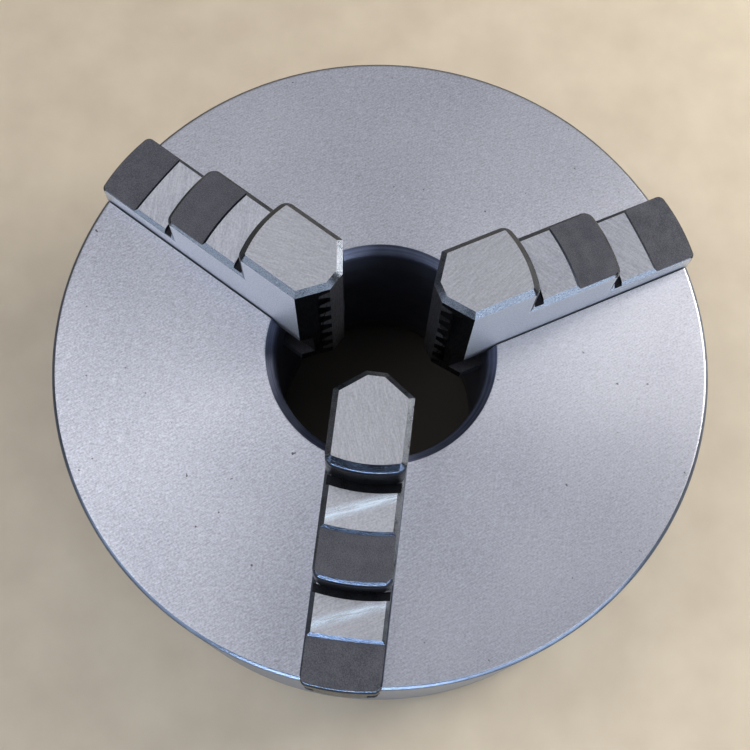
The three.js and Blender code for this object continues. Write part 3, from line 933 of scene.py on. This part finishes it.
def gear_outline(scale):
    """The pinion's teeth in section, with the across axis as y and the downward axis as x."""
    root = PITCH_LINE - GEAR_ROOT
    steps = 5
    flank = [root + (GEAR_TIP + GEAR_ROOT) * i / steps for i in range(steps + 1)]
    points = []
    for tooth in range(PINION_TEETH):
        middle = math.pi / 2 - 2 * math.pi * tooth / PINION_TEETH
        sides = [(r, middle + tooth_half_angle(r)) for r in flank]
        sides += [(r, middle - tooth_half_angle(r)) for r in reversed(flank)]
        points += [(-r * math.sin(a) * scale, r * math.cos(a) * scale) for r, a in sides]
    return list(reversed(points))


def pinion(number, angle):
    """Drawn along +Z, from its inner journal to the key socket in the rim, then turned to lie along +X."""
    journal_edge = 0.6
    inner_edge = 0.8
    outer_edge = 1
    profile = rounded([
        (JOURNAL - journal_edge, JOURNAL_END),
        (JOURNAL, JOURNAL_END + journal_edge),
        (JOURNAL, PINION_BODY - GAP),
        (PINION_RADIUS - inner_edge, PINION_BODY),
        (PINION_RADIUS, PINION_BODY + inner_edge),
        (PINION_RADIUS, GROOVE[0]),
        (GROOVE_RADIUS, GROOVE[0]),
        (GROOVE_RADIUS, GROOVE[1]),
        (PINION_RADIUS, GROOVE[1]),
        (PINION_RADIUS, PINION_END - outer_edge),
        (PINION_RADIUS - outer_edge, PINION_END),
    ], closed=False)
    shaft = turned(f"pinion_{number}_fine", profile, SMALL * 3, solid=True)
    gear = stack("gear", [(gear_outline(end / GEAR_MIDDLE), end) for end in GEAR_ENDS])
    half = SOCKET / 2
    mouth = 0.7
    past = 0.8
    flare = 1 + (mouth + past) / half
    square = [(-half, -half), (half, -half), (half, half), (-half, half)]
    wide = [(x * flare, y * flare) for x, y in square]
    levels = [
        (square, PINION_END - SOCKET_DEPTH),
        (square, PINION_END - mouth),
        (wide, PINION_END + past),
    ]
    join(shaft, gear)
    cut(shaft, stack("socket", levels))
    tidy(shaft)
    soften(shaft, 0.15, angle=50)
    smooth(shaft)

    def finish_of(centre, normal):
        inside = max(abs(centre.x), abs(centre.y)) < half + 1 and centre.z > PINION_BODY
        return "socket" if inside and centre.z < PINION_END - 0.01 else "turned"

    paint(shaft, {"turned": PINION_TURNED, "socket": SCREW_BLACK}, finish_of)
    shifted(z_to_x(shaft), z=PINION_HEIGHT)
    place(shaft, f"pinion_{number}_shaft", "hard_steel", f"pinion_{number}", angle=angle)


def pinion_pin(number, angle):
    edge = 0.5
    profile = rounded([
        (PIN_RADIUS - edge, PIN_LOW),
        (PIN_RADIUS, PIN_LOW + edge),
        (PIN_RADIUS, PIN_HIGH - edge),
        (PIN_RADIUS - edge, PIN_HIGH),
    ], closed=False)
    pin = smooth(turned(f"pinion_pin_{number}_fine", profile, SMALL, solid=True))
    paint(shifted(pin, PIN_ALONG, PIN_SIDE), {"hard": HARD_STEEL})
    place(pin, "body", "hard_steel", f"pinion_pin_{number}", angle=angle)


def plug_screw(number, angle):
    """The short socket screw that closes a pin's hole in the back face."""
    edge = 0.4
    low, high = PLUG
    profile = [
        (PIN_RADIUS - edge, low),
        (PIN_RADIUS, low + edge),
        (PIN_RADIUS, high - edge),
        (PIN_RADIUS - edge, high),
    ]
    plug = turned(f"pin_plug_screw_{number}_fine", profile, SMALL, solid=True)
    drive = hexagon(PLUG_HEX)
    cut(plug, stack("hex", [(drive, low - PAST), (drive, low + PLUG_HEX_DEPTH)]))
    smooth(soften(tidy(plug), 0.08))
    paint(shifted(plug, PIN_ALONG, PIN_SIDE), {"black": SCREW_BLACK})
    place(plug, "body", "screw_steel", f"pin_plug_screw_{number}", angle=angle)


def back_cover():
    boss_high = SCROLL_LOW - GAP
    profile = rounded([
        (COVER_BORE, COVER_LOW, 0.5),
        (COVER_RADIUS, COVER_LOW, 0.5),
        (COVER_RADIUS, COVER_HIGH, 0.5),
        (BOSS[1], COVER_HIGH),
        (BOSS[1], boss_high),
        (BOSS[0], boss_high),
        (BOSS[0], COVER_HIGH),
        (COVER_BORE, COVER_HIGH, 0.5),
    ])
    cover = turned("back_cover_fine", profile)
    cutters = []
    for angle in PINION_ANGLES:
        journal = z_to_x(rod("journal", JOURNAL + GAP, COVER_BORE, BOSS[1] + PAST))
        cutters.append(about_z(shifted(journal, z=PINION_HEIGHT), angle))
    head = SCREW_HEAD + GAP
    countersink = [
        (head + GAP, COVER_LOW - GAP),
        (SCREW_RADIUS + GAP, COVER_LOW + SCREW_HEAD_HEIGHT),
        (SCREW_RADIUS + GAP, COVER_HIGH + PAST),
    ]
    for angle in COVER_SCREW_ANGLES:
        hole = shifted(turned("countersink", countersink, SMALL, solid=True), SCREW_CIRCLE)
        cutters.append(about_z(hole, angle))
    smooth(tidy(cut(cover, *cutters)))
    paint(cover, {"iron": COVER_IRON})
    place(cover, "body", "cover_iron", "back_cover")


def cover_screw(number, angle):
    low = COVER_LOW + GAP
    end_edge = 0.4
    profile = [
        (SCREW_HEAD - 0.2, low),
        (SCREW_HEAD, low + 0.15),
        (SCREW_RADIUS, COVER_LOW + SCREW_HEAD_HEIGHT),
        (SCREW_RADIUS, SCREW_END - end_edge),
        (SCREW_RADIUS - end_edge, SCREW_END),
    ]
    screw = turned(f"cover_screw_{number}_fine", profile, SMALL, solid=True)
    drive = hexagon(SCREW_HEX)
    cut(screw, stack("hex", [(drive, low - PAST), (drive, low + SCREW_HEX_DEPTH)]))
    smooth(soften(tidy(screw), 0.08))
    paint(shifted(screw, SCREW_CIRCLE), {"black": SCREW_BLACK})
    place(screw, "body", "screw_steel", f"cover_screw_{number}", angle=angle)


# ---- Assembly -----------------------------------------------------------------------------

chuck_body()
for index, jaw_angle in enumerate(JAW_ANGLES):
    jaw(index + 1, jaw_angle)
scroll_plate()
back_cover()
for index, pinion_angle in enumerate(PINION_ANGLES):
    pinion(index + 1, pinion_angle)
    pinion_pin(index + 1, pinion_angle)
    plug_screw(index + 1, pinion_angle)
for index, screw_angle in enumerate(COVER_SCREW_ANGLES):
    cover_screw(index + 1, screw_angle)

# ---- Floor, lights and camera -------------------------------------------------------------


def floor():
    """A plain pale floor just below the chuck, with a faint mottle, and painted shade under the chuck,
    where the floor seen in the bore is darker.
    """
    half = 1500
    below = 0.1
    outline = [(-half, -half), (half, -half), (half, half), (-half, half)]
    ground = object_from("floor", [(x, y, -below) for x, y in outline], [(0, 1, 2, 3)])
    nodes = Nodes("floor_paint")
    level = nodes.noise((0.05, 0.05, 0.05), detail=3.0)
    open_floor = nodes.ramp(level, [(0.3, (0.62, 0.53, 0.41)), (0.7, (0.68, 0.59, 0.46))])
    from_axis = nodes.math("MULTIPLY", nodes.vector_math("LENGTH", nodes.millimetres), 0.5 / RIM)
    # Painted shade: the floor gets darker towards the axis, under the chuck.
    shade = nodes.ramp(from_axis, [(0.3, 0.22), (0.46, 1.0)])
    colour = nodes.mix(1.0, open_floor, shade, "MULTIPLY")
    roughness = nodes.ramp(level, [(0.3, 0.6), (0.7, 0.7)])
    ground.data.materials.append(nodes.finish(colour, roughness, 0.0))


def area_light(name, azimuth, elevation, distance, size, power, colour):
    """A light that faces the chuck, in metres and watts; its angles are in degrees, azimuth from +X."""
    light = bpy.data.lights.new(name, "AREA")
    light.shape = "RECTANGLE"
    light.size, light.size_y = size
    light.energy = power
    light.color = colour
    holder = bpy.data.objects.new(name, light)
    bpy.context.scene.collection.objects.link(holder)
    a, e = math.radians(azimuth), math.radians(elevation)
    away = Vector((math.cos(e) * math.cos(a), math.cos(e) * math.sin(a), math.sin(e)))
    holder.location = away * distance
    holder.rotation_mode = "QUATERNION"
    holder.rotation_quaternion = away.to_track_quat("Z", "Y")


def studio():
    world = bpy.data.worlds.new("studio")
    bpy.context.scene.world = world
    world.use_nodes = True
    background = world.node_tree.nodes["Background"]
    background.inputs["Color"].default_value = (0.86, 0.9, 1.0, 1.0)
    background.inputs["Strength"].default_value = 0.26
    area_light("lamp", 28, 24, 0.95, (0.5, 0.5), 9.0, (1.0, 0.97, 0.92))
    area_light("left_window", -139, 14, 1.3, (0.9, 0.45), 4.6, (0.82, 0.9, 1.0))
    area_light("right_window", -43, 14, 1.3, (0.9, 0.45), 8.2, (0.80, 0.89, 1.0))
    area_light("low_window", -90, 4, 1.3, (1.2, 0.1), 12.0, (0.72, 0.85, 1.0))
    area_light("ceiling", 100, 72, 1.5, (1.6, 1.0), 3.4, (0.95, 0.97, 1.0))
    area_light("fill", 190, 56, 1.2, (0.9, 0.9), 4.1, (0.97, 0.97, 1.0))
    bpy.context.scene.view_settings.view_transform = "Standard"
    bpy.context.scene.view_settings.gamma = 0.85


def camera():
    """Looks down at the face from the front, a little from the right."""
    place_mm = Vector((5.9, -113.9, FACE + 348.9))
    aim_mm = Vector((-1.05, -7.6, FACE))
    roll = math.radians(3.13)
    data = bpy.data.cameras.new("camera")
    data.lens = 57.84
    holder = bpy.data.objects.new("camera", data)
    bpy.context.scene.collection.objects.link(holder)
    holder.location = place_mm * MM
    holder.rotation_mode = "QUATERNION"
    look = (aim_mm - place_mm).to_track_quat("-Z", "Y")
    holder.rotation_quaternion = look @ Quaternion((0, 0, 1), roll)
    bpy.context.scene.camera = holder


floor()
studio()
camera()
